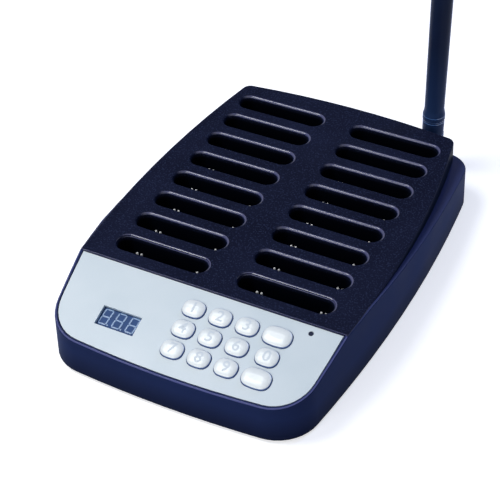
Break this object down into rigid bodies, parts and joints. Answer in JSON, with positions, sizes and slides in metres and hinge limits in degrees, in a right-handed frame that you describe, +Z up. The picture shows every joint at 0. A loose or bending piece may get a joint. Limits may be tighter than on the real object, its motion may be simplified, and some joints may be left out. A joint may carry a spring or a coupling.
{
  "type": "guest pager system",
  "caption": "Low case with bulged sides, sloping keypad and display panel, charging slots for pagers and a folding aerial at the rear.",
  "frame": {"origin": "middle of the part's box, on the surface that the feet stand on", "axes": "+Z up, +X to the right of a person who uses the keypad, +Y away from that person"},
  "size_m": [0.1576, 0.24, 0.205],
  "materials": {
    "case_plastic": "satin, dark navy",
    "block_plastic": "fine texture, near black navy",
    "panel_skin": "satin, pale silver blue",
    "key_plastic": "gloss, silvery white",
    "mat_rubber": "matte, translucent grey",
    "foot_rubber": "matte, black",
    "screw_steel": "zinc plated",
    "board_laminate": "solder mask, green",
    "display_face": "slate blue face",
    "display_light": "pale blue segments",
    "lamp_lens": "dark lens",
    "shield_metal": "tinned shield",
    "buzzer_case": "black",
    "pin_gold": "gold plated",
    "inlet_plastic": "black",
    "socket_brass": "plated",
    "aerial_plastic": "satin, dark navy",
    "aerial_rubber": "satin, dark navy"
  },
  "bodies": {
    "base": {"top_case": "case_plastic", "slot_block": "block_plastic", "front_panel": "panel_skin", "bottom_plate": "case_plastic", "rubber_feet": "foot_rubber", "case_screws": "screw_steel", "key_board": "board_laminate", "keypad_mat": "mat_rubber", "display_module": "display_face", "display_segments": "display_light", "indicator_lens": "lamp_lens", "panel_screws": "screw_steel", "main_board": "board_laminate", "radio_module": "shield_metal", "buzzer": "buzzer_case", "board_screws": "screw_steel", "charge_board": "board_laminate", "charge_pins": "pin_gold", "power_board": "board_laminate", "dc_inlet": "inlet_plastic", "aerial_socket": "socket_brass"},
    "key_1_body": {"key_1": "key_plastic"},
    "key_2_body": {"key_2": "key_plastic"},
    "key_3_body": {"key_3": "key_plastic"},
    "key_4_body": {"key_4": "key_plastic"},
    "key_5_body": {"key_5": "key_plastic"},
    "key_6_body": {"key_6": "key_plastic"},
    "key_7_body": {"key_7": "key_plastic"},
    "key_8_body": {"key_8": "key_plastic"},
    "key_9_body": {"key_9": "key_plastic"},
    "key_0_body": {"key_0": "key_plastic"},
    "key_call_body": {"key_call": "key_plastic"},
    "key_clear_body": {"key_clear": "key_plastic"},
    "aerial_swivel": {"aerial_knuckle": "aerial_plastic", "aerial_pin": "screw_steel"},
    "aerial_mast": {"aerial_whip": "aerial_rubber"}
  },
  "joints": [
    {"name": "key_1_press", "type": "slide", "parent": "base", "child": "key_1_body", "axis": [0, 0.309, -0.9511], "range_m": [0, 0.0012], "stiffness_N_per_m": 600, "springref_m": -0.0008},
    {"name": "key_2_press", "type": "slide", "parent": "base", "child": "key_2_body", "axis": [0, 0.309, -0.9511], "range_m": [0, 0.0012], "stiffness_N_per_m": 600, "springref_m": -0.0008},
    {"name": "key_3_press", "type": "slide", "parent": "base", "child": "key_3_body", "axis": [0, 0.309, -0.9511], "range_m": [0, 0.0012], "stiffness_N_per_m": 600, "springref_m": -0.0008},
    {"name": "key_4_press", "type": "slide", "parent": "base", "child": "key_4_body", "axis": [0, 0.309, -0.9511], "range_m": [0, 0.0012], "stiffness_N_per_m": 600, "springref_m": -0.0008},
    {"name": "key_5_press", "type": "slide", "parent": "base", "child": "key_5_body", "axis": [0, 0.309, -0.9511], "range_m": [0, 0.0012], "stiffness_N_per_m": 600, "springref_m": -0.0008},
    {"name": "key_6_press", "type": "slide", "parent": "base", "child": "key_6_body", "axis": [0, 0.309, -0.9511], "range_m": [0, 0.0012], "stiffness_N_per_m": 600, "springref_m": -0.0008},
    {"name": "key_7_press", "type": "slide", "parent": "base", "child": "key_7_body", "axis": [0, 0.309, -0.9511], "range_m": [0, 0.0012], "stiffness_N_per_m": 600, "springref_m": -0.0008},
    {"name": "key_8_press", "type": "slide", "parent": "base", "child": "key_8_body", "axis": [0, 0.309, -0.9511], "range_m": [0, 0.0012], "stiffness_N_per_m": 600, "springref_m": -0.0008},
    {"name": "key_9_press", "type": "slide", "parent": "base", "child": "key_9_body", "axis": [0, 0.309, -0.9511], "range_m": [0, 0.0012], "stiffness_N_per_m": 600, "springref_m": -0.0008},
    {"name": "key_0_press", "type": "slide", "parent": "base", "child": "key_0_body", "axis": [0, 0.309, -0.9511], "range_m": [0, 0.0012], "stiffness_N_per_m": 600, "springref_m": -0.0008},
    {"name": "key_call_press", "type": "slide", "parent": "base", "child": "key_call_body", "axis": [0, 0.309, -0.9511], "range_m": [0, 0.0012], "stiffness_N_per_m": 600, "springref_m": -0.0008},
    {"name": "key_clear_press", "type": "slide", "parent": "base", "child": "key_clear_body", "axis": [0, 0.309, -0.9511], "range_m": [0, 0.0012], "stiffness_N_per_m": 600, "springref_m": -0.0008},
    {"name": "aerial_turn", "type": "hinge", "parent": "base", "child": "aerial_swivel", "pos_m": [0.0446, 0.11375, 0.0165], "axis": [0, 1, 0], "range_deg": [-90, 90]},
    {"name": "aerial_fold", "type": "hinge", "parent": "aerial_swivel", "child": "aerial_mast", "pos_m": [0.0446, 0.11375, 0.0165], "axis": [-1, 0, 0], "range_deg": [0, 90]}
  ]
}
